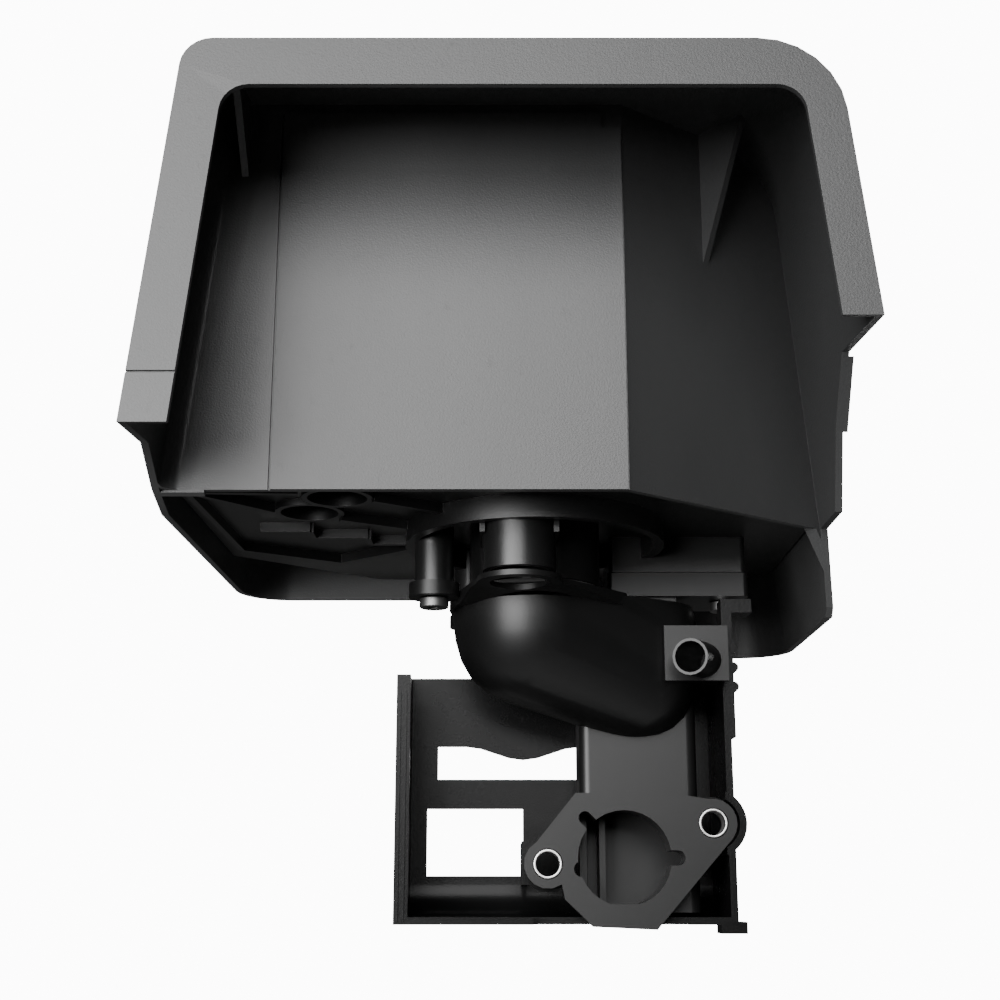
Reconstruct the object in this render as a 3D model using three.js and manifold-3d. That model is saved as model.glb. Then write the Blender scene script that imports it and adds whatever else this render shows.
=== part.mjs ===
// Air filter housing of a small horizontal-shaft engine, in millimetres, +Z up.
// Origin: centre of the carburettor bore on the mating face of the elbow's flange.
// -Y points out of that face towards the carburettor, +X runs to the right of it.
import * as THREE from 'three';
import { ConvexGeometry } from 'three/addons/geometries/ConvexGeometry.js';
import { mergeVertices } from 'three/addons/utils/BufferGeometryUtils.js';
import Module from 'manifold-3d';

const wasm = await Module();
wasm.setup();

// ---- driving dimensions ----

const ARC_STEPS = 6;          // steps in a rounded corner
const ROUND_SIDES = 32;       // sides of a large round
const SMALL_SIDES = 20;       // sides of a screw, stud or collar
const JOIN = 1;               // how far pieces of one body run into each other
const GAP = 0.3;              // clearance between separate pieces at rest
const FAR = 400;              // reach of a cutting block

const COVER = {
  wall: 2.5,
  frontY: -127.5,
  backWallY: -72,
  farY: 90,
  top: 254,
  frontDrop: 11,              // how far the roof falls towards the front
  leftFront: -154.4,
  leftBack: -155.4,
  leftFar: -151.5,
  right: 73,
  widthLevel: 113.5,          // the level at which left and right are measured
  lean: 0.1016,               // sideways lean of the walls per millimetre of height
  leftRadius: 10,
  rightRadius: 27,
  farRadius: 20,
  edgeLevel: 113.5,           // lower edge of the back wall and of the right panel
};
const FRONT_TOP = COVER.top - COVER.frontDrop;
const LIP = { thick: 2.2, left: 14.4, right: 12.3, top: 16, radius: 9 };
const LIP_END = { left: 118.6, right: 151.5 };
const GROOVE = { wide: 0.7, deep: 0.8, overlap: 0.1, lipLevel: 134 };   // fine lines moulded into the cover
const RIGHT_PANEL = { startX: -1.75, endX: 76.9, endY: -13.7 };
const CENTRE_PANEL = { left: -117.8, down: 6, proud: 0.8, notchWide: 6.5, notchHigh: 5.5, margin: 0.4 };
const SIDE_STRIP = { frontY: -88, farY: -61, low: 136, high: 155, proud: 1.6 };
const COVE_RADIUS = 9;
const SIDE_EDGE = { left: 108.8, right: 84, chinStart: 30, slant: 10 };
const GUSSET = { thick: 2.4 };
const LEFT_GUSSET = { x: -130.4, high: 30.6, reach: 34 };
const RIGHT_GUSSET = { along: 38, high: 54.2, reach: 22 };
const COVER_HOLE_RADIUS = 7.3;

const AXIS = { x: -31, y: -6 };                  // axis of the filter element and its stud
const BASE = { under: 117.5, thick: 2.8, edgeGap: 0.6, raise: 8, ribDrop: 3.5, ribThick: 2.2 };
const BASE_RAISED = { leftY: 32, farX: -84 };    // the far left corner sits higher
const BOWL = { outer: 47, inner: 43.5, depth: 8 };
const OUTLET_RADIUS = 20;
const INLET = { bore: 10, outer: 12, below: 2.3, above: 9, first: [-97.9, -54.6], second: [-109.5, -35] };
const SEAL = { thick: 2.6, width: 4 };

const STUD = { radius: 3, below: 18.5, above: 22 };   // reach below the tray and above the cover
const BRIDGE = { width: 8, boss: 7.5, bossDrop: 7 };
const WEB = { thick: 1.8, drop: 11 };             // beside the hollow tube under the tray
const BASE_NUT = { radius: 5.6, height: 5 };

const ELEMENT = { paperInner: 33, paperOuter: 53, capOuter: 56.5, capThick: 4.5, height: 88 };
const ELEMENT_SEAL = { inner: 27, outer: 33, thick: 1.6 };
const CORE = { inner: 30.6, outer: 31.8 };
const FOAM = { clear: 0.6, thick: 4.6, endClear: 1.5 };
const WASHER = { clear: 0.4, outer: 9, thick: 1.4 };
const WING = { clear: 0.35, hub: 6.2, hubHeight: 9, span: 17, thick: 2.6, rise: 6 };
const GROMMET = { flange: 10.5, flangeThick: 2, neckClear: 0.3, boreClear: 0.6 };

const FLANGE = { thick: 8, bore: 16.4, flatLow: -15.6, lug: 8.4 };
const STUDS = [
  { name: 'left', x: -26.9, z: -2.05 },
  { name: 'right', x: 31.4, z: 11.9 },
];
const COLLAR = { bore: 4.2, outer: 5, clear: 0.3 };
const DUCT = { left: -15, right: 28, front: 12, back: 37.4, low: -18.5, top: 84, wall: 2.5, radius: 4 };
const BULB = { low: 54.5, height: 38, left: -61, middleY: 6, wall: 2.6, squareness: 2.6 };
const BULB_RIGHT = { x: 6, y: 16, radiusX: 24, radiusY: 22, radiusZ: 32, z: 75 };
const NECK = { outer: 23.5, bore: 20, gasket: 1.4 };
const TOP_PLATE = { low: 87.5, top: 92, ledge: 1.2 };   // the ledge closes the bore's foot round the belly
const JOINT_BOX = { left: -3, right: 48.3, front: 10.3, back: 41, seam: 104.2, low: 95 };
const SPIGOT = { left: 15, right: 37.7, low: 61, high: 80.7, frontY: -8, thick: 3, outer: 6.4, bore: 5.5 };
const SPIGOT_TUBE = { startX: 29.5, z: 68.5, tipX: 22.4, tipY: -21 };

const SHROUD = {
  wall: 2.5,
  left: -79.9,
  right: 39,
  front: 0.4,
  behindDuct: 9.1,            // from the duct's back to the outside of the back wall
  low: -22.5,
  leftTop: 64.4,
  backTop: 69,
  rightTop: 63,
  fillet: 14,
  strip: 4.2,
  stripDepth: 3,
};
const SHROUD_BACK = DUCT.back + SHROUD.behindDuct;
const UPPER_WINDOW = { left: -67.4, right: -13, low: 30.3, high: 42.8, sag: 5 };
const LOWER_WINDOW = { left: -71.3, right: -34.9, low: -5.5, high: 19.3 };
const TAB = { thick: 2.5, radius: 9.5 };
const GUIDE_POST = { width: 3.8, low: 44, top: 92, hook: 9, teeth: 3 };

const SCREW = { shank: 2.6, head: 5.2, headHigh: 3.4, hole: 3.1, socket: 2.4 };
const EAR = { radius: 9, x: -67, y: -14, low: 89.5, high: 94.5 };
const NECK_LOW = TOP_PLATE.top + NECK.gasket + 2 * GAP;
const FRONT_TUBE = { radius: 12.6, bore: 10.2, x: -37, y: -37, low: NECK_LOW, lugRadius: 14.5 };
const LUG = { thick: 1.8, backY: -28.5, slope: 14 };  // thin under the front tube, then sloping down
const SCREW_POINTS = [
  { name: 'ear', x: EAR.x, y: EAR.y, boss: 7 },
  { name: 'right', x: 41, y: 22, boss: 6.5 },
  { name: 'rear', x: -54, y: 36, boss: 7.5 },
];

const BLACK = { colour: 0x1d1d1f, roughness: 0.45, metalness: 0 };
const STEEL = { colour: 0xc6c8ca, roughness: 0.3, metalness: 1 };
const RUBBER = { colour: 0x141414, roughness: 0.85, metalness: 0 };
const PAPER = { colour: 0xd8c69a, roughness: 0.9, metalness: 0 };
const CAP = { colour: 0xb5492f, roughness: 0.7, metalness: 0 };
const FOAM_LOOK = { colour: 0x3a3c40, roughness: 1, metalness: 0 };

// ---- solids ----

/** A closed three.js geometry as a solid that can be joined and cut. */
function solid(geometry) {
  const bare = geometry.clone();
  bare.deleteAttribute('normal');
  bare.deleteAttribute('uv');
  const merged = mergeVertices(bare, 1e-4);
  const mesh = new wasm.Mesh({
    numProp: 3,
    vertProperties: new Float32Array(merged.attributes.position.array),
    triVerts: new Uint32Array(merged.index.array),
  });
  return new wasm.Manifold(mesh);
}

function union(solids) {
  return solids.reduce((sum, next) => sum.add(next));
}

function cut(body, tools) {
  return tools.reduce((rest, tool) => rest.subtract(tool), body);
}

/** A named mesh with its own material. */
function piece(name, body, look) {
  const out = body.getMesh();
  const geometry = new THREE.BufferGeometry();
  geometry.setAttribute('position', new THREE.BufferAttribute(out.vertProperties, 3));
  geometry.setIndex(new THREE.BufferAttribute(out.triVerts, 1));
  geometry.computeVertexNormals();
  const material = new THREE.MeshStandardMaterial({
    color: look.colour,
    roughness: look.roughness,
    metalness: look.metalness,
  });
  const mesh = new THREE.Mesh(geometry, material);
  mesh.name = name;
  return mesh;
}

/** Corners [x, y, radius] joined into an outline whose corners are arcs. */
function outline(corners) {
  const points = [];
  corners.forEach(([x, y, radius = 0], i) => {
    const here = new THREE.Vector2(x, y);
    if (radius === 0) {
      points.push(here);
      return;
    }
    const before = corners[(i + corners.length - 1) % corners.length];
    const after = corners[(i + 1) % corners.length];
    const toBefore = new THREE.Vector2(before[0], before[1]).sub(here).normalize();
    const toAfter = new THREE.Vector2(after[0], after[1]).sub(here).normalize();
    const half = Math.acos(toBefore.dot(toAfter)) / 2;
    const middle = toBefore.clone().add(toAfter).normalize().multiplyScalar(radius / Math.sin(half));
    const centre = here.clone().add(middle);
    const reach = radius / Math.tan(half);
    const start = here.clone().addScaledVector(toBefore, reach).sub(centre);
    const end = here.clone().addScaledVector(toAfter, reach).sub(centre);
    const turn = Math.atan2(start.cross(end), start.dot(end));
    for (let step = 0; step <= ARC_STEPS; step += 1) {
      const spoke = start.clone().rotateAround(new THREE.Vector2(), (turn * step) / ARC_STEPS);
      points.push(centre.clone().add(spoke));
    }
  });
  return points;
}

function extruded(points, depth, uAxis, vAxis, wAxis, offset) {
  const geometry = new THREE.ExtrudeGeometry(new THREE.Shape(points), { depth, bevelEnabled: false });
  geometry.applyMatrix4(new THREE.Matrix4().makeBasis(uAxis, vAxis, wAxis).setPosition(offset));
  return solid(geometry);
}

const X = new THREE.Vector3(1, 0, 0);
const Y = new THREE.Vector3(0, 1, 0);
const Z = new THREE.Vector3(0, 0, 1);

/** Points (x, y) raised from z0 to z1. */
function prismZ(points, z0, z1) {
  return extruded(points, z1 - z0, X, Y, Z, new THREE.Vector3(0, 0, z0));
}

/** Points (x, z) carried from y0 to y1. */
function prismY(points, y0, y1) {
  return extruded(points, y1 - y0, X, Z, Y.clone().negate(), new THREE.Vector3(0, y1, 0));
}

/** Points (y, z) carried from x0 to x1. */
function prismX(points, x0, x1) {
  return extruded(points, x1 - x0, Y, Z, X, new THREE.Vector3(x0, 0, 0));
}

function box(x0, x1, y0, y1, z0, z1) {
  const geometry = new THREE.BoxGeometry(x1 - x0, y1 - y0, z1 - z0);
  geometry.translate((x0 + x1) / 2, (y0 + y1) / 2, (z0 + z1) / 2);
  return solid(geometry);
}

/** A round bar between two points. */
function bar(from, to, radius, sides = SMALL_SIDES) {
  const along = to.clone().sub(from);
  const geometry = new THREE.CylinderGeometry(radius, radius, along.length(), sides);
  const turn = new THREE.Quaternion().setFromUnitVectors(Y, along.clone().normalize());
  geometry.applyQuaternion(turn);
  const middle = from.clone().add(to).multiplyScalar(0.5);
  geometry.translate(middle.x, middle.y, middle.z);
  return solid(geometry);
}

function rodZ(x, y, z0, z1, radius, sides = SMALL_SIDES) {
  return bar(new THREE.Vector3(x, y, z0), new THREE.Vector3(x, y, z1), radius, sides);
}

function rodY(x, z, y0, y1, radius, sides = SMALL_SIDES) {
  return bar(new THREE.Vector3(x, y0, z), new THREE.Vector3(x, y1, z), radius, sides);
}

/** A ring about the filter axis, from a profile of [radius, z] that closes on itself. */
function turned(profile, sides = ROUND_SIDES) {
  const points = [...profile, profile[0]].map(([radius, z]) => new THREE.Vector2(radius, z));
  const geometry = new THREE.LatheGeometry(points, sides);
  geometry.rotateX(Math.PI / 2);
  geometry.translate(AXIS.x, AXIS.y, 0);
  return solid(geometry);
}

function ringZ(inner, outer, z0, z1, sides = ROUND_SIDES) {
  return turned([[inner, z0], [outer, z0], [outer, z1], [inner, z1]], sides);
}

function hull(points) {
  return solid(new ConvexGeometry(points));
}

// ---- cover ----

function coverLeft(y) {
  const { frontY, backWallY, farY, leftFront, leftBack, leftFar } = COVER;
  if (y < backWallY) {
    return THREE.MathUtils.mapLinear(y, frontY, backWallY, leftFront, leftBack);
  }
  return THREE.MathUtils.mapLinear(y, backWallY, farY, leftBack, leftFar);
}

/** The section of the cover at one place along Y, as points in space. */
function coverSection(y, top, inset, sideInset) {
  const low = -20;
  const lean = (z) => (z - COVER.widthLevel) * COVER.lean;
  const left = coverLeft(y) + inset + sideInset;
  const right = COVER.right - inset - sideInset;
  const roof = top - inset;
  const corners = [
    [left + lean(low), low],
    [right - lean(low), low],
    [right - lean(roof), roof, COVER.rightRadius - inset],
    [left + lean(roof), roof, COVER.leftRadius - inset],
  ];
  return outline(corners).map((point) => new THREE.Vector3(point.x, y, point.y));
}

/** The whole outside of the cover, or its inside when inset by the wall. */
function coverForm(inset) {
  const slope = (COVER.top - FRONT_TOP) / (COVER.backWallY - COVER.frontY);
  const front = COVER.frontY - (inset > 0 ? JOIN : 0);
  const points = [
    ...coverSection(front, FRONT_TOP + slope * (front - COVER.frontY), inset, 0),
    ...coverSection(COVER.backWallY, COVER.top, inset, 0),
  ];
  const radius = COVER.farRadius - inset;
  for (let step = 0; step <= ARC_STEPS; step += 1) {
    const angle = (step / ARC_STEPS) * (Math.PI / 2);
    const y = COVER.farY - inset - radius + radius * Math.sin(angle);
    const drawn = radius * (1 - Math.cos(angle));
    points.push(...coverSection(y, COVER.top - drawn, inset, drawn));
  }
  return hull(points);
}

/** A point on the right panel's outer face, and that face's direction and inward normal in plan. */
function rightPanelLine() {
  const start = new THREE.Vector2(RIGHT_PANEL.startX, COVER.backWallY);
  const along = new THREE.Vector2(RIGHT_PANEL.endX, RIGHT_PANEL.endY).sub(start).normalize();
  const inward = new THREE.Vector2(-along.y, along.x);
  return { start, along, inward };
}

/** The plan of everything in front of the back wall and the right panel, drawn back by a depth. */
function frontPlan(depth) {
  const { start, along, inward } = rightPanelLine();
  const wallY = COVER.backWallY + depth;
  const onPanel = start.clone().addScaledVector(inward, depth);
  const corner = onPanel.clone().addScaledVector(along, (wallY - onPanel.y) / along.y);
  const end = corner.clone().addScaledVector(along, FAR);
  return [
    new THREE.Vector2(-FAR, -FAR),
    new THREE.Vector2(FAR + end.x, -FAR),
    end,
    corner,
    new THREE.Vector2(-FAR, wallY),
  ];
}

/** Everything below the cover's lower edges, which differ on its left, middle and right. */
function belowCover() {
  const floor = -100;
  const { frontY, edgeLevel } = COVER;
  const close = [[FAR, floor], [-FAR, floor]];
  const leftEdge = [
    [-FAR, LIP_END.left],
    [frontY, LIP_END.left],
    [frontY + 30, LIP_END.left + 3],
    [frontY + 52, edgeLevel],
    [frontY + 70, SIDE_EDGE.left],
    [FAR, SIDE_EDGE.left],
  ];
  const middleEdge = [[-FAR, edgeLevel], [0, edgeLevel], [0, SIDE_EDGE.left], [FAR, SIDE_EDGE.left]];
  const panelEdge = [
    [-FAR, edgeLevel],
    [RIGHT_PANEL.endY - 3, edgeLevel],
    [RIGHT_PANEL.endY + SIDE_EDGE.slant, SIDE_EDGE.right],
    [FAR, SIDE_EDGE.right],
  ];
  const rightEdge = [
    [-FAR, LIP_END.right],
    [frontY, LIP_END.right],
    [frontY + 43, LIP_END.right + 4.5],
    [frontY + 66, LIP_END.right - 14.5],
    [frontY + 84, edgeLevel],
    [RIGHT_PANEL.endY - 6, edgeLevel],
    [RIGHT_PANEL.endY - 6 + SIDE_EDGE.slant, SIDE_EDGE.right + 3],
    [RIGHT_PANEL.endY - 2 + SIDE_EDGE.slant, SIDE_EDGE.right],
    [FAR, SIDE_EDGE.right],
  ];
  const bands = [
    [leftEdge, -FAR, COVER.leftFront + 16],
    [middleEdge, COVER.leftFront + 16, SIDE_EDGE.chinStart],
    [panelEdge, SIDE_EDGE.chinStart, COVER.right - 2 * LIP.right],
    [rightEdge, COVER.right - 2 * LIP.right, FAR],
  ];
  return union(bands.map(([edge, x0, x1]) => {
    const points = [...edge, ...close].map(([y, z]) => new THREE.Vector2(y, z));
    return prismX(points, x0 - JOIN / 2, x1);
  }));
}

/** The opening inside the lip that runs round the hood's front. */
function lipOpening() {
  const low = -50;
  const lean = (z) => (z - COVER.widthLevel) * COVER.lean;
  const left = COVER.leftFront + LIP.left;
  const right = COVER.right - LIP.right;
  const roof = FRONT_TOP - LIP.top;
  const corners = [
    [left + lean(low), low],
    [right - lean(low), low],
    [right - lean(roof), roof, LIP.radius],
    [left + lean(roof), roof, LIP.radius],
  ];
  return prismY(outline(corners), COVER.frontY - JOIN, COVER.frontY + LIP.thick + JOIN);
}

/** The two triangular stiffeners between the hood's roof and its back. */
function gussets() {
  const { start, along, inward } = rightPanelLine();
  const roof = COVER.top - COVER.wall / 2;
  const leftPoints = [
    [COVER.backWallY + JOIN, COVER.top - LEFT_GUSSET.high],
    [COVER.backWallY + JOIN, roof],
    [COVER.backWallY - LEFT_GUSSET.reach, roof],
  ].map(([y, z]) => new THREE.Vector2(y, z));
  const left = prismX(leftPoints, LEFT_GUSSET.x - GUSSET.thick / 2, LEFT_GUSSET.x + GUSSET.thick / 2);
  const foot = start.clone().addScaledVector(along, RIGHT_GUSSET.along).addScaledVector(inward, JOIN);
  const tip = foot.clone().addScaledVector(inward, -RIGHT_GUSSET.reach - JOIN);
  const corners = [[foot, COVER.top - RIGHT_GUSSET.high], [foot, roof], [tip, roof]];
  const points = corners.flatMap(([spot, z]) => [-1, 1].map((side) => {
    const shifted = spot.clone().addScaledVector(along, (side * GUSSET.thick) / 2);
    return new THREE.Vector3(shifted.x, shifted.y, z);
  }));
  return [left, hull(points)];
}

/** The hollow fillet where the left wall meets the back wall. It leans with the wall. */
function cove() {
  const sunk = COVER.wall / 5;
  const outerX = coverLeft(COVER.backWallY) + sunk;
  const cornerX = coverLeft(COVER.backWallY) + COVER.wall - sunk;
  const cornerY = COVER.backWallY + sunk;
  const endX = cornerX + COVE_RADIUS + JOIN;
  const endY = cornerY - COVE_RADIUS - JOIN;
  const corners = [
    [outerX, cornerY + JOIN],
    [outerX, endY],
    [cornerX, endY],
    [cornerX, cornerY, COVE_RADIUS],
    [endX, cornerY],
    [endX, cornerY + JOIN],
  ];
  const leaning = new THREE.Vector3(COVER.lean, 0, 1);
  const foot = new THREE.Vector3(0, 0, COVER.edgeLevel);
  return extruded(outline(corners), COVER.top - COVER.edgeLevel, X, Y, leaning, foot);
}

/** The slightly proud panel in the middle of the back wall, with a notch in its upper right corner. */
function centrePanel() {
  const { left, down, proud, notchWide, notchHigh, margin } = CENTRE_PANEL;
  const top = COVER.top - down;
  const right = RIGHT_PANEL.startX - margin;
  const face = [
    new THREE.Vector2(left, COVER.edgeLevel - JOIN),
    new THREE.Vector2(right, COVER.edgeLevel - JOIN),
    new THREE.Vector2(right, top - notchHigh),
    new THREE.Vector2(right - notchWide, top - notchHigh),
    new THREE.Vector2(right - notchWide, top),
    new THREE.Vector2(left, top),
  ];
  return prismY(face, COVER.backWallY - proud, COVER.backWallY + COVER.wall / 2);
}

/** The fine grooves across the lip's left leg and down the left side of the centre panel. */
function grooves() {
  const { wide, deep, overlap, lipLevel } = GROOVE;
  const legRight = COVER.leftFront + 2 * LIP.left;
  const legLine = box(
    -FAR,
    legRight,
    COVER.frontY - JOIN,
    COVER.frontY + deep,
    lipLevel - wide / 2,
    lipLevel + wide / 2,
  );
  const panelLine = box(
    CENTRE_PANEL.left - wide,
    CENTRE_PANEL.left + overlap,
    COVER.backWallY - 2 * CENTRE_PANEL.proud,
    COVER.backWallY + deep,
    COVER.edgeLevel - JOIN,
    COVER.top - CENTRE_PANEL.down + overlap,
  );
  return [legLine, panelLine];
}

/** A short proud strip on the outside of the right wall, beside the hood's lower edge. */
function sideStrip() {
  const { frontY, farY, low, high, proud } = SIDE_STRIP;
  const wallAt = (z) => COVER.right - (z - COVER.widthLevel) * COVER.lean;
  return prismY([
    new THREE.Vector2(wallAt(low) - JOIN, low),
    new THREE.Vector2(wallAt(low) + proud, low),
    new THREE.Vector2(wallAt(high) + proud, high),
    new THREE.Vector2(wallAt(high) - JOIN, high),
  ], frontY, farY);
}

function cover() {
  const outside = coverForm(0);
  const inside = coverForm(COVER.wall);
  const behind = cut(inside, [prismZ(frontPlan(COVER.wall), -FAR, FAR)]);
  const ahead = inside.intersect(prismZ(frontPlan(0), -FAR, FAR));
  const behindLip = box(-FAR, FAR, COVER.frontY + LIP.thick, FAR, -FAR, FAR);
  const shell = cut(outside, [behind, ahead.intersect(behindLip), lipOpening()]);
  const additions = [centrePanel(), cove(), ...gussets()].map((extra) => extra.intersect(outside));
  const hole = rodZ(AXIS.x, AXIS.y, COVER.top - 10, COVER.top + 10, COVER_HOLE_RADIUS);
  const whole = union([shell, ...additions, sideStrip()]);
  return piece('cover', cut(whole, [belowCover(), hole, ...grooves()]), BLACK);
}

// ---- base tray ----

const BASE_TOP = BASE.under + BASE.thick;

/** The tray's outline in plan: the inside of the cover at a level, drawn in by a gap. */
function basePlan(gap, level = BASE_TOP) {
  const { start, along, inward } = rightPanelLine();
  const inset = COVER.wall + gap;
  const nearY = COVER.backWallY + inset;
  const lift = (level - COVER.widthLevel) * COVER.lean;
  const right = COVER.right - inset - lift;
  const onPanel = start.clone().addScaledVector(inward, inset);
  const corner = onPanel.clone().addScaledVector(along, (nearY - onPanel.y) / along.y);
  const rightNear = onPanel.clone().addScaledVector(along, (right - onPanel.x) / along.x);
  const farY = COVER.farY - inset;
  const radius = COVER.farRadius - inset + 2;
  return outline([
    [coverLeft(nearY) + inset + lift, nearY, 6],
    [corner.x, corner.y],
    [rightNear.x, rightNear.y, 2],
    [right, farY, radius],
    [coverLeft(farY) + inset + lift, farY, radius],
  ]);
}

/** A straight rib of the tray, in plan from one point to another, hanging below it. */
function rib(from, to) {
  const along = new THREE.Vector2(to[0] - from[0], to[1] - from[1]).normalize();
  const side = new THREE.Vector2(-along.y, along.x).multiplyScalar(BASE.ribThick / 2);
  const points = [
    new THREE.Vector2(from[0] + side.x, from[1] + side.y),
    new THREE.Vector2(from[0] - side.x, from[1] - side.y),
    new THREE.Vector2(to[0] - side.x, to[1] - side.y),
    new THREE.Vector2(to[0] + side.x, to[1] + side.y),
  ];
  return prismZ(points, BASE.under - BASE.ribDrop, BASE.under + JOIN);
}

function baseRibs() {
  const { first, second } = INLET;
  const chains = [
    [[-146, -66], [-141.5, 18], [-106, 40], [-74, 14]],
    [[-146, -66], [first[0] - 12, first[1] - 9]],
    [[-146, -66], [second[0] - 12, second[1] - 5]],
    [[second[0] + 10, second[1] + 6], [-74, -14]],
    [[first[0] + 12, first[1]], [-62, -38]],
    [[-130, -12], [-112, -12], [-112, -2], [-92, -2], [-92, 8], [-76, 8]],
  ];
  return chains.flatMap((chain) => chain.slice(1).map((to, i) => rib(chain[i], to)));
}

function baseTray() {
  const plate = prismZ(basePlan(BASE.edgeGap), BASE.under, BASE_TOP);
  const corner = [
    new THREE.Vector2(-FAR, BASE_RAISED.leftY),
    new THREE.Vector2(COVER.leftFront, BASE_RAISED.leftY),
    new THREE.Vector2(BASE_RAISED.farX, COVER.farY),
    new THREE.Vector2(BASE_RAISED.farX, FAR),
    new THREE.Vector2(-FAR, FAR),
  ];
  const inner = corner.map((point) => point.clone().add(new THREE.Vector2(-BASE.thick, BASE.thick)));
  const raisedTop = BASE_TOP + BASE.raise;
  const block = prismZ(basePlan(BASE.edgeGap, raisedTop), BASE.under, raisedTop);
  const raised = block.intersect(prismZ(corner, -FAR, FAR));
  const under = prismZ(inner, -FAR, BASE.under + BASE.raise);
  const inlets = [INLET.first, INLET.second];
  const inletLow = BASE.under - INLET.below;
  const inletTop = BASE_TOP + INLET.above;
  const outer = inlets.map(([x, y]) =>
    rodZ(x, y, inletLow, inletTop, INLET.outer, ROUND_SIDES));
  const bores = inlets.map(([x, y]) =>
    rodZ(x, y, inletLow - JOIN, inletTop + JOIN, INLET.bore, ROUND_SIDES));
  const bowl = ringZ(BOWL.inner, BOWL.outer, BASE.under - BOWL.depth, BASE.under + JOIN);
  const neck = rodZ(AXIS.x, AXIS.y, NECK_LOW, BASE.under + JOIN, NECK.outer, ROUND_SIDES);
  const bossLow = { ear: EAR.high + GAP, rear: NECK_LOW, right: JOINT_BOX.seam };
  const bosses = SCREW_POINTS.map(({ name, x, y, boss }) =>
    rodZ(x, y, bossLow[name], BASE.under + JOIN, boss));
  const { x: tubeX, y: tubeY, low: tubeLow, radius: tubeRadius, bore: tubeBore } = FRONT_TUBE;
  const frontTube = rodZ(tubeX, tubeY, tubeLow, BASE.under + JOIN, tubeRadius, ROUND_SIDES);
  const frontBore = rodZ(tubeX, tubeY, tubeLow - JOIN, BASE.under - JOIN, tubeBore, ROUND_SIDES);
  const webs = [-1, 1].map((side) => {
    const x = tubeX + side * tubeRadius;
    const webLow = BASE.under - WEB.drop;
    return box(x - WEB.thick / 2, x + WEB.thick / 2, tubeY - 7, AXIS.y, webLow, BASE.under + JOIN);
  });
  const jointBox = prismZ(outline([
    [JOINT_BOX.left, JOINT_BOX.front, 2],
    [JOINT_BOX.right, JOINT_BOX.front, 2],
    [JOINT_BOX.right, JOINT_BOX.back, 2],
    [JOINT_BOX.left, JOINT_BOX.back, 2],
  ]), JOINT_BOX.seam, BASE.under + JOIN);
  const outlet = rodZ(AXIS.x, AXIS.y, NECK_LOW - 5, BASE_TOP + 5, OUTLET_RADIUS, ROUND_SIDES);
  const bridge = box(
    AXIS.x - OUTLET_RADIUS - JOIN,
    AXIS.x + OUTLET_RADIUS + JOIN,
    AXIS.y - BRIDGE.width / 2,
    AXIS.y + BRIDGE.width / 2,
    BASE.under - 4,
    BASE_TOP - 0.4,
  );
  const bridgeBoss = rodZ(AXIS.x, AXIS.y, BASE.under - BRIDGE.bossDrop, BASE_TOP - 0.4, BRIDGE.boss);
  const studHole = rodZ(AXIS.x, AXIS.y, 60, 160, STUD.radius + GAP);
  const pilots = SCREW_POINTS.map(({ name, x, y }) =>
    rodZ(x, y, bossLow[name] - 5, bossLow[name] + 10, SCREW.shank + GAP));
  const body = union([cut(plate, [under.intersect(prismZ(corner, -FAR, FAR))]), cut(raised, [under])]);
  const hung = [bowl, neck, ...bosses, frontTube, ...webs, jointBox, ...outer, ...baseRibs()];
  const open = cut(union([body, ...hung]), [outlet, frontBore, ...bores]);
  const sunk = union([open, bridge, bridgeBoss]);
  return piece('base_tray', cut(sunk, [studHole, ...pilots]), BLACK);
}

function baseSeal() {
  const ring = prismZ(basePlan(BASE.edgeGap + 0.6), BASE_TOP + GAP, BASE_TOP + GAP + SEAL.thick);
  const hole = prismZ(basePlan(BASE.edgeGap + 0.6 + SEAL.width), BASE_TOP, BASE_TOP + 10);
  const clear = BASE_RAISED.farX + 2;
  const away = prismZ([
    new THREE.Vector2(-FAR, BASE_RAISED.leftY - 4),
    new THREE.Vector2(COVER.leftFront, BASE_RAISED.leftY - 4),
    new THREE.Vector2(clear + 4, COVER.farY),
    new THREE.Vector2(clear + 4, FAR),
    new THREE.Vector2(-FAR, FAR),
  ], 0, FAR);
  const collars = [INLET.first, INLET.second].map(([x, y]) =>
    rodZ(x, y, BASE.under, BASE_TOP + 10, INLET.outer + 0.5, ROUND_SIDES));
  return piece('cover_seal', cut(ring, [hole, away, ...collars]), RUBBER);
}

/** Six corners about a point in plan. */
function hexagon(x, y, radius) {
  return Array.from({ length: 6 }, (_, i) => {
    const spoke = new THREE.Vector2(radius, 0).rotateAround(new THREE.Vector2(), (i * Math.PI) / 3);
    return spoke.add(new THREE.Vector2(x, y));
  });
}

// ---- elbow ----

/** Points of a rounded body's surface, for a hull: fuller than an ellipsoid as power grows past 2. */
function roundedBody(x, y, z, rx, ry, rz, power) {
  const sphere = new THREE.SphereGeometry(1, 32, 16);
  sphere.rotateX(Math.PI / 2);
  const position = sphere.attributes.position;
  return Array.from({ length: position.count }, (_, i) => {
    const point = new THREE.Vector3().fromBufferAttribute(position, i);
    const level = Math.hypot(point.x, point.y);
    const fuller = (level ** power + Math.abs(point.z) ** power) ** (-1 / power);
    point.multiplyScalar(fuller).multiply(new THREE.Vector3(rx, ry, rz));
    return point.add(new THREE.Vector3(x, y, z));
  });
}

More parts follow.
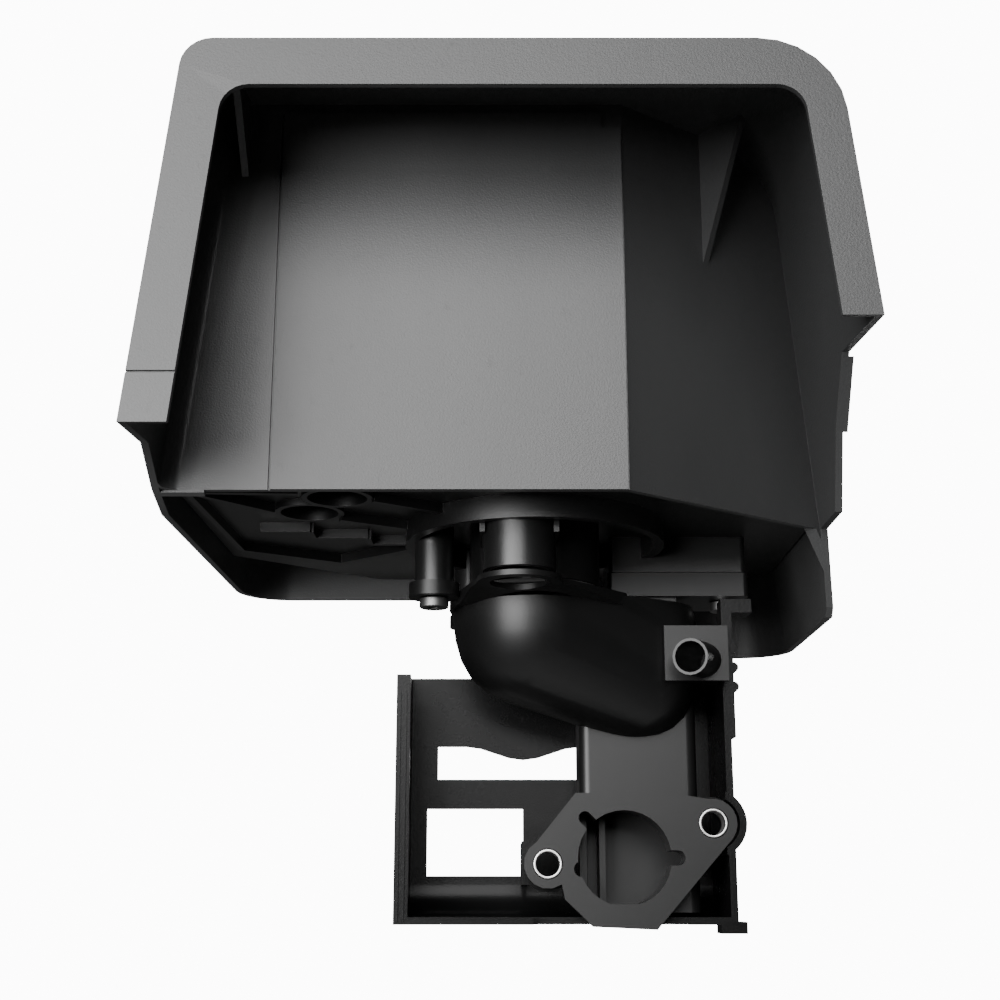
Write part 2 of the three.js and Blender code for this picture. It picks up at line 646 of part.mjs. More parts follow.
/** The rounded belly under the top plate, or its inside when inset by the wall. */
function bulb(inset) {
  const radius = AXIS.x - BULB.left - inset;
  const height = BULB.height - inset;
  const middle = BULB.low + BULB.height;
  const belly = hull([
    ...roundedBody(AXIS.x, BULB.middleY, middle, radius, radius, height, BULB.squareness),
    ...roundedBody(
      BULB_RIGHT.x,
      BULB_RIGHT.y,
      BULB_RIGHT.z,
      BULB_RIGHT.radiusX - inset,
      BULB_RIGHT.radiusY - inset,
      BULB_RIGHT.radiusZ - inset,
      BULB.squareness,
    ),
  ]);
  return belly.intersect(box(-FAR, FAR, -FAR, FAR, -FAR, TOP_PLATE.top - JOIN - inset / 2));
}

function ductForm(inset) {
  const corners = [
    [DUCT.left + inset, DUCT.front + inset, DUCT.radius - inset],
    [DUCT.right - inset, DUCT.front + inset, DUCT.radius - inset],
    [DUCT.right - inset, DUCT.back - inset, DUCT.radius - inset],
    [DUCT.left + inset, DUCT.back - inset, DUCT.radius - inset],
  ];
  return prismZ(outline(corners), DUCT.low + inset, DUCT.top);
}

function flangeOutline() {
  const [left, right] = STUDS;
  const arc = (stud, from, to) => Array.from({ length: 9 }, (_, i) => {
    const angle = THREE.MathUtils.degToRad(from + ((to - from) * i) / 8);
    return new THREE.Vector2(
      stud.x + FLANGE.lug * Math.cos(angle),
      stud.z + FLANGE.lug * Math.sin(angle),
    );
  });
  return [
    new THREE.Vector2(-17, 22.3),
    ...arc(left, 118, 305),
    new THREE.Vector2(-21, -14),
    new THREE.Vector2(-11.2, -23.2),
    new THREE.Vector2(10.9, -24.2),
    new THREE.Vector2(13.2, -21.4),
    ...arc(right, -38, 100),
    new THREE.Vector2(17.4, 22.3),
  ];
}

/** The bore through the flange, flat below, with two slots and a pocket beside it. */
function boreTools() {
  const depth = DUCT.front + DUCT.wall + JOIN;
  const round = rodY(0, 0, -JOIN, depth, FLANGE.bore, ROUND_SIDES);
  const flat = box(-FAR, FAR, -FAR, FAR, -FAR, FLANGE.flatLow);
  const slot = (angle, reach, width) => {
    const tip = new THREE.Vector2(reach, 0).rotateAround(new THREE.Vector2(), angle);
    const side = new THREE.Vector2(0, width / 2).rotateAround(new THREE.Vector2(), angle);
    const strip = prismY([
      side.clone(),
      side.clone().negate(),
      tip.clone().sub(side),
      tip.clone().add(side),
    ], -JOIN, depth);
    return strip.add(rodY(tip.x, tip.y, -JOIN, depth, width / 2));
  };
  return [
    round.subtract(flat),
    slot(THREE.MathUtils.degToRad(135), 19.4, 4.6),
    slot(THREE.MathUtils.degToRad(0), 18.6, 5.2),
    slot(THREE.MathUtils.degToRad(194), 15.6, 5.4),
  ];
}

function spigot() {
  const start = new THREE.Vector3(SPIGOT_TUBE.startX, SPIGOT.frontY + SPIGOT.thick, SPIGOT_TUBE.z);
  const tip = new THREE.Vector3(SPIGOT_TUBE.tipX, SPIGOT_TUBE.tipY, SPIGOT_TUBE.z - 1);
  const along = tip.clone().sub(start).normalize();
  const root = start.clone().addScaledVector(along, -14);
  const past = tip.clone().addScaledVector(along, 5);
  const plate = box(
    SPIGOT.left,
    SPIGOT.right,
    SPIGOT.frontY,
    SPIGOT.frontY + SPIGOT.thick,
    SPIGOT.low,
    SPIGOT.high,
  );
  const margin = 1.5;
  const stem = box(
    SPIGOT.left + margin,
    SPIGOT.right - margin,
    SPIGOT.frontY + JOIN,
    DUCT.front + 4,
    SPIGOT.low + margin,
    SPIGOT.high - margin,
  );
  const tube = bar(start, tip, SPIGOT.outer);
  const bore = bar(root, past, SPIGOT.bore);
  return { solids: [plate, stem, tube], bore };
}

function elbow() {
  const { low, top } = TOP_PLATE;
  const plate = prismZ(outline([
    [-60, 34, 12],
    [-62, 0, 4],
    [FRONT_TUBE.x - FRONT_TUBE.lugRadius, FRONT_TUBE.y],
    [FRONT_TUBE.x + FRONT_TUBE.lugRadius, FRONT_TUBE.y],
    [2, -10, 4],
    [2, 34, 6],
  ]), low, top);
  const nose = rodZ(FRONT_TUBE.x, FRONT_TUBE.y, low, top, FRONT_TUBE.lugRadius, ROUND_SIDES);
  const noseHole = rodZ(FRONT_TUBE.x, FRONT_TUBE.y, low - 5, top + 5, FRONT_TUBE.bore, ROUND_SIDES);
  const underLug = prismX(outline([
    [-FAR, 0],
    [LUG.backY + LUG.slope, 0],
    [LUG.backY + LUG.slope, low],
    [LUG.backY, top - LUG.thick],
    [-FAR, top - LUG.thick],
  ]), -FAR, FAR);
  const ear = rodZ(EAR.x, EAR.y, EAR.low, EAR.high, EAR.radius, ROUND_SIDES);
  const rearScrew = SCREW_POINTS.find(({ name }) => name === 'rear');
  const rear = rodZ(rearScrew.x, rearScrew.y, low, top, 9);
  const upper = prismZ(outline([
    [JOINT_BOX.left - 0.5, JOINT_BOX.front - 0.4, 2],
    [JOINT_BOX.right + 0.6, JOINT_BOX.front - 0.4, 2],
    [JOINT_BOX.right + 0.6, JOINT_BOX.back, 2],
    [JOINT_BOX.left - 0.5, JOINT_BOX.back, 2],
  ]), JOINT_BOX.low, JOINT_BOX.seam - GAP);
  const link = box(
    JOINT_BOX.left,
    BULB_RIGHT.x + 16,
    JOINT_BOX.front + 2,
    JOINT_BOX.back - 2,
    BULB_RIGHT.z,
    JOINT_BOX.low + JOIN,
  );
  const flange = prismY(flangeOutline(), 0, FLANGE.thick);
  const throat = prismY(outline([
    [-19, -18.5, 5],
    [19, -18.5, 5],
    [20, 20, 5],
    [-19, 20, 5],
  ]), FLANGE.thick - JOIN, DUCT.front + JOIN);
  const { solids, bore } = spigot();
  const skin = union([
    cut(plate.add(nose), [underLug]), ear, rear, upper, link, flange, throat,
    bulb(0), ductForm(0), ...solids,
  ]);
  const inletBore = rodZ(AXIS.x, AXIS.y, low + TOP_PLATE.ledge, top + JOIN, NECK.bore, ROUND_SIDES);
  const studHoles = STUDS.map(({ x, z }) =>
    rodY(x, z, -JOIN, FLANGE.thick + 10, COLLAR.outer + COLLAR.clear));
  const screwHoles = SCREW_POINTS.map(({ x, y }) => rodZ(x, y, low - 12, JOINT_BOX.seam + 5, SCREW.hole));
  const hollow = cut(skin, [
    bulb(BULB.wall), ductForm(DUCT.wall), inletBore, bore, noseHole,
    ...boreTools(), ...studHoles, ...screwHoles,
  ]);
  const divider = box(-7.6, -5.4, DUCT.front + 8, DUCT.back - 1, DUCT.low + 1, 30);
  return piece('elbow', hollow.add(divider), BLACK);
}

function elbowGasket() {
  const low = TOP_PLATE.top + GAP;
  const ring = rodZ(AXIS.x, AXIS.y, low, low + NECK.gasket, NECK.outer, ROUND_SIDES);
  const hole = rodZ(AXIS.x, AXIS.y, 0, FAR, NECK.bore + 0.5, ROUND_SIDES);
  return piece('elbow_gasket', ring.subtract(hole), RUBBER);
}

function elbowScrew({ name, x, y }) {
  const seats = { ear: EAR.low, right: JOINT_BOX.low, rear: TOP_PLATE.low };
  const seat = seats[name];
  const head = rodZ(x, y, seat - GAP - SCREW.headHigh, seat - GAP, SCREW.head);
  const shank = rodZ(x, y, seat - GAP - JOIN, seat + 12, SCREW.shank);
  const socket = prismZ(hexagon(x, y, SCREW.socket), seat - 10, seat - GAP - 1.4);
  return piece(`elbow_screw_${name}`, head.add(shank).subtract(socket), STEEL);
}

function studCollar({ name, x, z }) {
  const length = FLANGE.thick + GAP + TAB.thick;
  const sleeve = rodY(x, z, 0, length, COLLAR.outer, ROUND_SIDES);
  const bore = rodY(x, z, -JOIN, length + JOIN, COLLAR.bore, ROUND_SIDES);
  return piece(`stud_collar_${name}`, sleeve.subtract(bore), STEEL);
}

// ---- shroud ----

function shroudWindows() {
  const { left, right, low, high, sag } = UPPER_WINDOW;
  const steps = 10;
  const curved = Array.from({ length: steps + 1 }, (_, i) => {
    const share = i / steps;
    const drop = sag * Math.sin(Math.PI * Math.min(1, share * 1.25)) ** 2;
    return new THREE.Vector2(right - share * (right - left), high - drop);
  });
  const upper = [new THREE.Vector2(left, low), new THREE.Vector2(right, low), ...curved];
  const lower = LOWER_WINDOW;
  const from = SHROUD_BACK - 10;
  const to = SHROUD_BACK + 5;
  return [prismY(upper, from, to), box(lower.left, lower.right, from, to, lower.low, lower.high)];
}

/** Left wall, back and floor of the shroud as one bent sheet, seen along X. */
function shroudTrough(x0, x1, topBack) {
  const { wall, front, low, fillet } = SHROUD;
  const back = SHROUD_BACK;
  const sheet = outline([
    [front, low],
    [back, low, fillet],
    [back, topBack],
    [back - wall, topBack],
    [back - wall, low + wall, fillet - wall],
    [front, low + wall],
  ]);
  return prismX(sheet, x0, x1);
}

function shroud() {
  const { wall, left, right, front, low, strip, stripDepth, fillet } = SHROUD;
  const back = SHROUD_BACK;
  const { leftTop, backTop, rightTop } = SHROUD;
  const trough = shroudTrough(left, right, backTop);
  const sideOutline = (top, backHigh) => outline([
    [front, low],
    [back, low, fillet],
    [back, backHigh],
    [front, top],
  ]);
  const leftWall = prismX(sideOutline(leftTop, backTop), left, left + wall);
  const leftStrip = box(left - 0.8, left + strip, front, front + stripDepth, low, leftTop);
  const rightWall = prismX(sideOutline(rightTop, backTop), right - wall, right);
  const [studLeft, studRight] = STUDS;
  const roomRadius = FLANGE.lug + 1;
  const lugShell = rodY(studRight.x, studRight.z, front, back - 2, roomRadius + wall, ROUND_SIDES);
  const lugRoom = rodY(studRight.x, studRight.z, -5, back - 6, roomRadius, ROUND_SIDES);
  const postRight = right - wall + GAP + GUIDE_POST.width;
  const post = box(right - wall + GAP, postRight, front, front + 9, GUIDE_POST.low - 2, GUIDE_POST.top);
  const hookRight = right + GUIDE_POST.hook;
  const hook = box(right - JOIN, hookRight, front, front + 9, GUIDE_POST.top - 5, GUIDE_POST.top);
  const teeth = Array.from({ length: GUIDE_POST.teeth }, (_, i) =>
    rodY(postRight, 60 + i * 7, front, front + 9, 1.8));
  const foot = box(right - 6, right + 3, front, front + 12, low - 3, low + 1);
  const tabY = FLANGE.thick + GAP;
  const leftTab = rodY(studLeft.x, studLeft.z, tabY, tabY + TAB.thick, TAB.radius, ROUND_SIDES);
  const leftWeb = box(studLeft.x - TAB.radius + 0.5, studLeft.x - TAB.radius + 3, tabY, back - 1, -9, 6);
  const rightTab = rodY(studRight.x, studRight.z, tabY, tabY + TAB.thick, TAB.radius, ROUND_SIDES);
  const ductRoom = box(DUCT.left - 2, DUCT.right + 1.5, tabY - 5, DUCT.back + 1.2, low + wall + 0.1, 120);
  const throatRoom = box(-20, 21, -5, DUCT.front + 3, -21.5, 24);
  const flangeRoom = box(-32, 22, -5, tabY, low - 10, 24);
  const holes = STUDS.map(({ x, z }) => rodY(x, z, -5, tabY + 12, COLLAR.outer + COLLAR.clear));
  const shellOnly = lugShell.intersect(box(right - 3, FAR, -FAR, FAR, -FAR, FAR));
  const walls = union([trough, leftWall, leftStrip, rightWall, shellOnly, post, hook, ...teeth, foot]);
  const opened = cut(walls, [lugRoom, ...shroudWindows()]);
  const tabs = cut(union([leftTab, leftWeb, rightTab]), [throatRoom, ductRoom]);
  return piece('shroud', cut(opened.add(tabs), [flangeRoom, ...holes]), BLACK);
}

// ---- filter element ----

const ELEMENT_LOW = BASE_TOP + GAP + ELEMENT_SEAL.thick + GAP;
const ELEMENT_TOP = ELEMENT_LOW + ELEMENT.height;

function elementPieces() {
  const { paperInner, paperOuter, capOuter, capThick } = ELEMENT;
  const paperLow = ELEMENT_LOW + capThick + GAP;
  const paperHigh = ELEMENT_TOP - capThick - GAP;
  const foamInner = capOuter + FOAM.clear;
  const sealLow = BASE_TOP + GAP;
  const { inner, outer, thick } = ELEMENT_SEAL;
  const seatSeal = ringZ(inner, outer, sealLow, sealLow + thick);
  const lowerCap = ringZ(inner, capOuter, ELEMENT_LOW, ELEMENT_LOW + capThick);
  const upperCap = ringZ(STUD.radius + GAP, capOuter, ELEMENT_TOP - capThick, ELEMENT_TOP);
  const foamLow = ELEMENT_LOW + FOAM.endClear;
  const foamHigh = ELEMENT_TOP - FOAM.endClear;
  return [
    piece('element_seat_seal', seatSeal, RUBBER),
    piece('element_lower_cap', lowerCap, CAP),
    piece('element_paper', ringZ(paperInner, paperOuter, paperLow, paperHigh), PAPER),
    piece('element_core', ringZ(CORE.inner, CORE.outer, paperLow, paperHigh), STEEL),
    piece('element_upper_cap', upperCap, CAP),
    piece('foam_sleeve', ringZ(foamInner, foamInner + FOAM.thick, foamLow, foamHigh), FOAM_LOOK),
  ];
}

// ---- stud, washers and nuts ----

function throughStud() {
  const { below, above, radius } = STUD;
  return piece('through_stud', rodZ(AXIS.x, AXIS.y, BASE.under - below, COVER.top + above, radius), STEEL);
}

function studNut() {
  const high = BASE.under - BRIDGE.bossDrop - GAP;
  const body = prismZ(hexagon(AXIS.x, AXIS.y, BASE_NUT.radius), high - BASE_NUT.height, high);
  const bore = rodZ(AXIS.x, AXIS.y, 0, FAR, STUD.radius + GAP);
  return piece('stud_lock_nut', body.subtract(bore), STEEL);
}

function washer(name, low) {
  return piece(name, ringZ(STUD.radius + WASHER.clear, WASHER.outer, low, low + WASHER.thick), STEEL);
}

/** A wing nut about the filter axis, standing on the given level. */
function wingNut(name, low) {
  const bore = STUD.radius + WING.clear;
  const hub = turned([
    [bore, low],
    [WING.hub, low],
    [WING.hub, low + 3],
    [WING.hub - 1.2, low + WING.hubHeight],
    [bore, low + WING.hubHeight],
  ], SMALL_SIDES);
  const wing = (side) => {
    const corners = [
      [side * (WING.hub - 1.8), low + 2],
      [side * (WING.hub - 1.8), low + WING.hubHeight - 0.5],
      [side * (WING.span - 4), low + WING.hubHeight + WING.rise, 3],
      [side * WING.span, low + WING.hubHeight, 3],
    ].map(([x, z, radius]) => [AXIS.x + x, z, radius]);
    const ordered = side > 0 ? corners.reverse() : corners;
    return prismY(outline(ordered), AXIS.y - WING.thick / 2, AXIS.y + WING.thick / 2);
  };
  return piece(name, union([hub, wing(1), wing(-1)]), STEEL);
}

/** The rubber ring in the cover's hole, with a flange above and below the sheet. */
function coverGrommet() {
  const inner = STUD.radius + GROMMET.boreClear;
  const neck = COVER_HOLE_RADIUS - GROMMET.neckClear;
  const under = COVER.top - COVER.wall - GAP;
  const over = COVER.top + GAP;
  return piece('cover_grommet', turned([
    [inner, under - GROMMET.flangeThick],
    [GROMMET.flange, under - GROMMET.flangeThick],
    [GROMMET.flange, under],
    [neck, under],
    [neck, over],
    [GROMMET.flange, over],
    [GROMMET.flange, over + GROMMET.flangeThick],
    [inner, over + GROMMET.flangeThick],
  ]), RUBBER);
}

const COVER_WASHER_LOW = COVER.top + GAP + GROMMET.flangeThick + GAP;

// ---- assembly ----

const housing = new THREE.Group();
housing.add(cover());
housing.add(baseTray());
housing.add(baseSeal());
housing.add(elbow());
housing.add(elbowGasket());
SCREW_POINTS.forEach((point) => housing.add(elbowScrew(point)));
STUDS.forEach((stud) => housing.add(studCollar(stud)));
housing.add(shroud());
elementPieces().forEach((mesh) => housing.add(mesh));
housing.add(throughStud());
housing.add(studNut());
housing.add(washer('element_washer', ELEMENT_TOP + GAP));
housing.add(wingNut('element_wing_nut', ELEMENT_TOP + GAP + WASHER.thick + GAP));
housing.add(coverGrommet());
housing.add(washer('cover_washer', COVER_WASHER_LOW));
housing.add(wingNut('cover_wing_nut', COVER_WASHER_LOW + WASHER.thick + GAP));

export default housing;
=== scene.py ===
import math

import bmesh
import bpy
from mathutils import Matrix, Vector


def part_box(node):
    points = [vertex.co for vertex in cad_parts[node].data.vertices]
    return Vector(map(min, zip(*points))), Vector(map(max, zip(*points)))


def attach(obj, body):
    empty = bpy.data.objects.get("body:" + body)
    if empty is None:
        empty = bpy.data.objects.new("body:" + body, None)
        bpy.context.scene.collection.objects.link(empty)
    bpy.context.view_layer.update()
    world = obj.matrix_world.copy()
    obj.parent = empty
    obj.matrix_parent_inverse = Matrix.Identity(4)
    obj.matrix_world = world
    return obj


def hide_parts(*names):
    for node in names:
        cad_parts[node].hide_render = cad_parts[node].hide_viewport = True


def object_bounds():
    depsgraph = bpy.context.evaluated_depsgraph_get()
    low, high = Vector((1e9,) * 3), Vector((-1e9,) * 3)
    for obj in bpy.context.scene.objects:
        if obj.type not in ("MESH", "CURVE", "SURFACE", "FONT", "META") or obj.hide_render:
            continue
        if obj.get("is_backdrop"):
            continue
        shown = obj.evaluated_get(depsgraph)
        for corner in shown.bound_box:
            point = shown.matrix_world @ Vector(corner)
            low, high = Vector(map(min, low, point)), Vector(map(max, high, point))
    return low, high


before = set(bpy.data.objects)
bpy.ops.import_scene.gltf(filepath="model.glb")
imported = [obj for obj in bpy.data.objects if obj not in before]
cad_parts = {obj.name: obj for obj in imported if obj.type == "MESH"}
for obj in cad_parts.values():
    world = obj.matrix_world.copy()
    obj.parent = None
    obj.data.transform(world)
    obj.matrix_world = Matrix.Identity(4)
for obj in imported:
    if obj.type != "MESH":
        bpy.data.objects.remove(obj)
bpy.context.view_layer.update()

# --- Camera and studio ---
# The housing hangs as it does on its engine, seen a little from below and from the carburettor's side.
# The surround is plain white to look at, and the light comes from large soft lamps: a broad one in front,
# a low one at the left, and weaker ones above and behind, so that the back can be seen too.
EYE = Vector((-0.0436, -0.538, -0.0139))
EYE_PITCH = math.radians(14.9)
LENS_MM = 54
FLOOR_LEVEL = -2.0
FLOOR_SIZE = 16
FLOOR_CLOUDS = 1.5
SURROUND_SEEN = 12.0
SURROUND_LIGHT = 0.03

camera_data = bpy.data.cameras.new("camera")
camera_data.lens = LENS_MM
camera_data.sensor_width = 36
camera = bpy.data.objects.new("camera", camera_data)
camera.location = EYE
camera.rotation_euler = (math.pi / 2 + EYE_PITCH, 0, 0)
bpy.context.scene.collection.objects.link(camera)
bpy.context.scene.camera = camera


def add_object(name, mesh):
    piece = bpy.data.objects.new(name, mesh)
    bpy.context.scene.collection.objects.link(piece)
    return piece


class Sock:
    """A node's output that can be used in arithmetic."""

    def __init__(self, nodes, out):
        self.nodes = nodes
        self.out = out

    def maths(self, operation, *values):
        return self.nodes.add("ShaderNodeMath", {"operation": operation}, values)

    def __add__(self, other):
        return self.maths("ADD", self, other)

    def __radd__(self, other):
        return self.maths("ADD", other, self)

    def __sub__(self, other):
        return self.maths("SUBTRACT", self, other)

    def __rsub__(self, other):
        return self.maths("SUBTRACT", other, self)

    def __mul__(self, other):
        return self.maths("MULTIPLY", self, other)

    def __truediv__(self, other):
        return self.maths("DIVIDE", self, other)

    def step(self, low, high):
        """0 below low, 1 above high, smooth between."""
        return self.nodes.add(
            "ShaderNodeMapRange",
            {"interpolation_type": "SMOOTHSTEP"},
            {"Value": self, "From Min": low, "From Max": high},
        )


class Tree:
    """A node tree, with one method that adds any node."""

    def add(self, kind, settings=None, values=None, output=0):
        node = self.tree.nodes.new(kind)
        for key, value in (settings or {}).items():
            setattr(node, key, value)
        pairs = values.items() if isinstance(values, dict) else enumerate(values or ())
        for key, value in pairs:
            self.put(node.inputs[key], value)
        return Sock(self, node.outputs[output])

    def put(self, socket, value):
        if isinstance(value, Sock):
            self.tree.links.new(value.out, socket)
        else:
            socket.default_value = value


class Finish(Tree):
    """A material's nodes."""

    def __init__(self, name):
        self.material = bpy.data.materials.new(name)
        self.material.use_nodes = True
        self.tree = self.material.node_tree
        self.shader = self.tree.nodes["Principled BSDF"]

    def place(self, scale=(1, 1, 1), location=(0, 0, 0)):
        """The point on the object, in metres, moved and stretched."""
        here = self.add("ShaderNodeTexCoord", output="Object")
        return self.add("ShaderNodeMapping", {}, {"Vector": here, "Scale": scale, "Location": location})

    def noise(self, where, scale, detail=3.0, roughness=0.5):
        values = {"Vector": where, "Scale": scale, "Detail": detail, "Roughness": roughness}
        return self.add("ShaderNodeTexNoise", {}, values)

    def edges(self, low, high):
        """1 on worn outer edges, 0 on flats and hollows."""
        return self.add("ShaderNodeNewGeometry", output="Pointiness").step(low, high)

    def mix(self, share, first, second):
        return self.add("ShaderNodeMix", {"data_type": "RGBA"}, {0: share, 6: first, 7: second}, output=2)

    def bump(self, height, distance):
        return self.add("ShaderNodeBump", {}, {"Height": height, "Distance": distance})

    def set(self, **inputs):
        for key, value in inputs.items():
            self.put(self.shader.inputs[key.replace("_", " ")], value)
        return self.material


def grey(shade, warm=0.0):
    return (shade * (1 + warm), shade, shade * (1 - warm), 1)


floor_finish = Finish("pale_floor")
floor_shade = floor_finish.noise(floor_finish.place(), FLOOR_CLOUDS)
floor_finish.set(Base_Color=floor_finish.mix(floor_shade, grey(0.9), grey(0.95)), Roughness=0.9)
floor_mesh = bpy.data.meshes.new("floor")
half = FLOOR_SIZE / 2
corners = [(-half, -half), (half, -half), (half, half), (-half, half)]
floor_mesh.from_pydata([(x, y, FLOOR_LEVEL) for x, y in corners], [], [(0, 1, 2, 3)])
floor_mesh.materials.append(floor_finish.material)
add_object("floor", floor_mesh)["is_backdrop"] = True


class Surround(Tree):
    """The world's nodes: white where it is looked at, and a weak even light on everything else."""

    def __init__(self):
        world = bpy.data.worlds.new("studio")
        bpy.context.scene.world = world
        world.use_nodes = True
        self.tree = world.node_tree
        seen = self.add("ShaderNodeLightPath", output="Is Camera Ray")
        strength = seen * (SURROUND_SEEN - SURROUND_LIGHT) + SURROUND_LIGHT
        background = self.tree.nodes["Background"]
        background.inputs["Color"].default_value = (1, 1, 1, 1)
        self.put(background.inputs["Strength"], strength)


Surround()


def add_lamp(name, place, target, size, watts):
    data = bpy.data.lights.new(name, "AREA")
    data.shape = "RECTANGLE"
    data.size, data.size_y = size
    data.energy = watts
    lamp = bpy.data.objects.new(name, data)
    lamp.location = place
    aim = Vector(target) - Vector(place)
    lamp.rotation_euler = aim.to_track_quat("-Z", "Y").to_euler()
    bpy.context.scene.collection.objects.link(lamp)


UNDER_HOOD = (-0.04, -0.07, 0.16)
add_lamp("front", (-0.55, -1.55, 0.8), UNDER_HOOD, (1.9, 1.2), 73)
add_lamp("left_front", (-0.75, -1.25, 0.02), UNDER_HOOD, (0.8, 0.4), 26)
add_lamp("above", (-0.1, 0.25, 1.5), (-0.04, 0, 0.2), (1.0, 1.0), 9)
add_lamp("behind", (0.6, 1.5, 0.6), (-0.04, 0, 0.12), (1.0, 0.8), 16)

# --- Base tray ---
# The tray closes the box from below. It is injection-moulded black plastic, satin, with a fine
# spark-eroded grain and faint flow marks. Ribs stiffen it, and two short collars let the air in.
GRAIN_SIZE = 1500
FLOW_SIZE = 18
DUST_SIZE = 240
MOULD_ROUND = 0.0004
WELD_DISTANCE = 0.000005
FLAT_WITHIN = 0.6


def moulded_plastic(name, shade, roughness, gloss=0.5, grain=0.00004, stretch=(1, 1, 1)):
    finish = Finish(name)
    where = finish.place()
    flow = finish.noise(finish.place(stretch), FLOW_SIZE, 5.0, 0.6)
    dust = finish.noise(where, DUST_SIZE, 4.0, 0.7).step(0.6, 0.8)
    colour = finish.mix(flow, grey(shade * 0.8, -0.02), grey(shade * 1.2, -0.01))
    rubbed = finish.mix(finish.edges(0.52, 0.62) * 0.35, colour, grey(shade * 2.4))
    dusty = finish.mix(dust * 0.1, rubbed, grey(shade * 2.2, 0.03))
    pits = finish.noise(where, GRAIN_SIZE, 2.0, 0.6)
    rough = (roughness - 0.06) + flow * 0.12 + dust * 0.1
    normal = finish.bump(pits, grain)
    return finish.set(Base_Color=dusty, Roughness=rough, Normal=normal, Specular_IOR_Level=gloss)


def apply_modifiers(piece):
    graph = bpy.context.evaluated_depsgraph_get()
    mesh = bpy.data.meshes.new_from_object(piece.evaluated_get(graph), depsgraph=graph)
    piece.modifiers.clear()
    old = piece.data
    piece.data = mesh
    mesh.name = old.name
    bpy.data.meshes.remove(old)


def merged_copy(node, name):
    """The shape of a CAD node as one welded mesh, with its flat faces made whole."""
    shape = bmesh.new()
    shape.from_mesh(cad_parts[node].data)
    bmesh.ops.remove_doubles(shape, verts=shape.verts, dist=WELD_DISTANCE)
    flat = math.radians(FLAT_WITHIN)
    bmesh.ops.dissolve_limit(shape, angle_limit=flat, verts=shape.verts, edges=shape.edges)
    mesh = bpy.data.meshes.new(name)
    shape.to_mesh(mesh)
    shape.free()
    return add_object(name, mesh)


def smooth_shading(piece, angle):
    for face in piece.data.polygons:
        face.use_smooth = True
    piece.data.set_sharp_from_angle(angle=math.radians(angle))


def rounded_shell(node, name, material, radius, smooth=32, segments=2):
    """A CAD node's shape with its sharp edges rounded off, as a mould or a tumbler leaves them."""
    piece = merged_copy(node, name)
    piece.data.materials.append(material)
    bevel = piece.modifiers.new("edges", "BEVEL")
    bevel.width = radius
    bevel.segments = segments
    bevel.limit_method = "ANGLE"
    bevel.angle_limit = math.radians(smooth)
    apply_modifiers(piece)
    smooth_shading(piece, smooth)
    weighted = piece.modifiers.new("normals", "WEIGHTED_NORMAL")
    weighted.keep_sharp = True
    apply_modifiers(piece)
    return piece


def settle(piece, body, slot, *nodes):
    """Fix a piece to its body and hide the CAD nodes that it stands for. The slot argument is not used."""
    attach(piece, body)
    if nodes:
        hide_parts(*nodes)


tray_black = moulded_plastic("tray_black", shade=0.004, roughness=0.36, gloss=0.5)
tray = rounded_shell("base_tray", "tray_shell", tray_black, MOULD_ROUND)
settle(tray, "housing_body", "black_plastic", "base_tray")

# --- Elbow gasket ---
# A flat ring of black nitrile rubber seals the elbow against the tray's neck. It is squeezed between
# the two mouldings, so only its outer edge can be seen.
GASKET_BORE = 0.0206
GASKET_ROUND = 0.0003


def ring_profile(inner, outer, low, high, radius, steps=3):
    """A ring's section with rounded corners, as (radius, height) points."""
    centres = [
        (inner + radius, low + radius),
        (outer - radius, low + radius),
        (outer - radius, high - radius),
        (inner + radius, high - radius),
    ]
    points = []
    for quarter, (r, z) in enumerate(centres):
        for i in range(steps + 1):
            angle = math.pi + (quarter + i / steps) * math.pi / 2
            points.append((r + radius * math.cos(angle), z + radius * math.sin(angle)))
    return points


def turned_piece(name, centre, profile, material, sides=96, along="Z", smooth=30):
    """A closed section of (radius, height) points carried round an axis."""
    shape = bmesh.new()
    rings = []
    for i in range(sides):
        angle = 2 * math.pi * i / sides
        spoke = (math.cos(angle), math.sin(angle))
        if along == "Z":
            ring = [(r * spoke[0], r * spoke[1], z) for r, z in profile]
        else:
            ring = [(r * spoke[0], z, r * spoke[1]) for r, z in profile]
        rings.append([shape.verts.new(Vector(centre) + Vector(point)) for point in ring])
    count = len(profile)
    for ring, following in zip(rings, rings[1:] + rings[:1]):
        for i in range(count):
            j = (i + 1) % count
            shape.faces.new((ring[i], ring[j], following[j], following[i]))
    bmesh.ops.remove_doubles(shape, verts=shape.verts, dist=WELD_DISTANCE / 10)
    bmesh.ops.recalc_face_normals(shape, faces=shape.faces)
    mesh = bpy.data.meshes.new(name)
    shape.to_mesh(mesh)
    shape.free()
    mesh.materials.append(material)
    piece = add_object(name, mesh)
    smooth_shading(piece, smooth)
    return piece


def turned_over(node, name, inner, material, radius, along="Z"):
    """A ring with rounded edges in the place of a CAD ring, which gives its outer size and length."""
    low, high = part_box(node)
    middle = (Vector(low) + Vector(high)) / 2
    axis = 2 if along == "Z" else 1
    outer = (high[0] - low[0]) / 2
    centre = Vector(middle)
    centre[axis] = 0
    profile = ring_profile(inner, outer, low[axis], high[axis], radius)
    return turned_piece(name, centre, profile, material, along=along)


def rubber(name, shade, roughness=0.78):
    finish = Finish(name)
    where = finish.place()
    bloom = finish.noise(where, 60, 5.0, 0.65)
    specks = finish.noise(where, 900, 2.0, 0.5)
    colour = finish.mix(bloom.step(0.45, 0.75) * 0.5, grey(shade), grey(shade * 2.2, 0.02))
    rough = (roughness - 0.08) + bloom * 0.16
    return finish.set(Base_Color=colour, Roughness=rough, Normal=finish.bump(specks, 0.00006))


